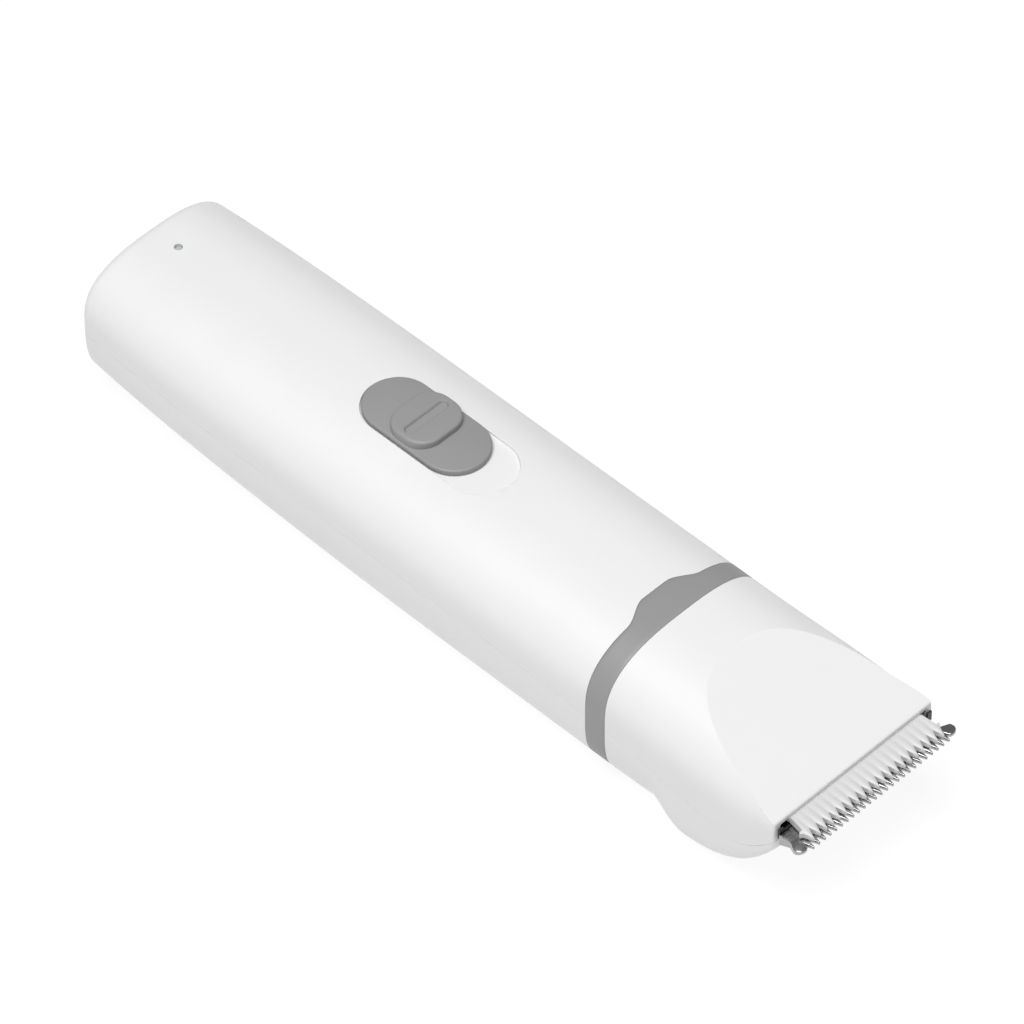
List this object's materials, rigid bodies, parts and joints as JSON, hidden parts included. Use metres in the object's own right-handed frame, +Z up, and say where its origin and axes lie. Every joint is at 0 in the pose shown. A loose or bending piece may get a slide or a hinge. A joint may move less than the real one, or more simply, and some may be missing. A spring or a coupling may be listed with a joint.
{
  "type": "electric pet clipper",
  "caption": "Cordless pet hair clipper: slim two-shell handle with thumb slide switch, pull-off head, steel comb blade and reciprocating ceramic blade.",
  "frame": {"origin": "on the ground under the middle of the clipper's length and width, the clipper lying on its lower shell", "axes": "+X along the handle towards the blade, +Y across to the clipper's left, +Z up through the switch side"},
  "size_m": [0.1714, 0.0382, 0.0308],
  "materials": {
    "white_shell": "satin moulded ABS, near white",
    "grey_plastic": "satin mid-grey moulded plastic",
    "black_plastic": "matt black moulded plastic",
    "natural_plastic": "undyed engineering plastic",
    "clear_plastic": "clear light guide and lens",
    "ceramic": "ground white zirconia ceramic",
    "polished_steel": "ground and polished stainless steel",
    "plated_steel": "zinc or nickel plated steel",
    "brass": "brass or sintered bronze",
    "ferrite": "dark grey ferrite",
    "laminated_steel": "stacked steel laminations",
    "circuit_board": "green solder mask",
    "battery_wrap": "plain blue shrink wrap over a metal can",
    "red_lead": "red insulated wire",
    "black_lead": "black insulated wire"
  },
  "bodies": {
    "handle": {"upper_shell": "white_shell", "lower_shell": "white_shell", "collar_ring": "grey_plastic", "front_bulkhead": "natural_plastic", "chassis": "black_plastic", "battery_cell": "battery_wrap", "battery_tab_front": "plated_steel", "battery_tab_rear": "plated_steel", "main_board": "circuit_board", "charge_chip": "black_plastic", "charge_inductor": "ferrite", "status_led": "clear_plastic", "light_pipe": "clear_plastic", "charging_socket": "plated_steel", "socket_tongue": "black_plastic", "switch_housing": "plated_steel", "motor_can": "plated_steel", "motor_end_cap": "black_plastic", "front_bearing": "brass", "rear_bearing": "brass", "motor_magnet_left": "ferrite", "motor_magnet_right": "ferrite", "motor_terminal_left": "brass", "motor_terminal_right": "brass", "motor_screw_left": "plated_steel", "motor_screw_right": "plated_steel", "motor_lead_left": "red_lead", "motor_lead_right": "black_lead"},
    "switch": {"switch_cap": "grey_plastic", "switch_slider": "natural_plastic", "switch_knob": "black_plastic"},
    "rotor": {"motor_shaft": "polished_steel", "motor_armature": "laminated_steel", "commutator": "brass", "eccentric_cam": "natural_plastic", "drive_pin": "polished_steel"},
    "head": {"head_upper_shell": "white_shell", "head_lower_shell": "white_shell", "head_plug": "natural_plastic", "head_latch_left": "plated_steel", "head_latch_right": "plated_steel", "blade_holder": "black_plastic", "fixed_blade": "polished_steel", "blade_screw_left": "plated_steel", "blade_screw_right": "plated_steel", "blade_spring": "polished_steel"},
    "blade": {"moving_blade": "ceramic", "blade_carriage": "natural_plastic"}
  },
  "joints": [
    {"name": "switch_slide", "type": "slide", "parent": "handle", "child": "switch", "axis": [1, 0, 0], "range_m": [0, 0.0062]},
    {"name": "rotor_spin", "type": "hinge", "parent": "handle", "child": "rotor", "pos_m": [0.03277, 0, 0.01438], "axis": [1, 0, 0], "range_deg": [-90, 90]},
    {"name": "head_release", "type": "slide", "parent": "handle", "child": "head", "axis": [1, 0, 0], "range_m": [0, 0.016]},
    {"name": "blade_stroke", "type": "slide", "parent": "head", "child": "blade", "axis": [0, 1, 0], "range_m": [-0.001, 0.001]}
  ],
  "couplings": [
    {"joint": "rotor_spin", "follows": "blade_stroke", "rad_per_m": -1570.7}
  ]
}
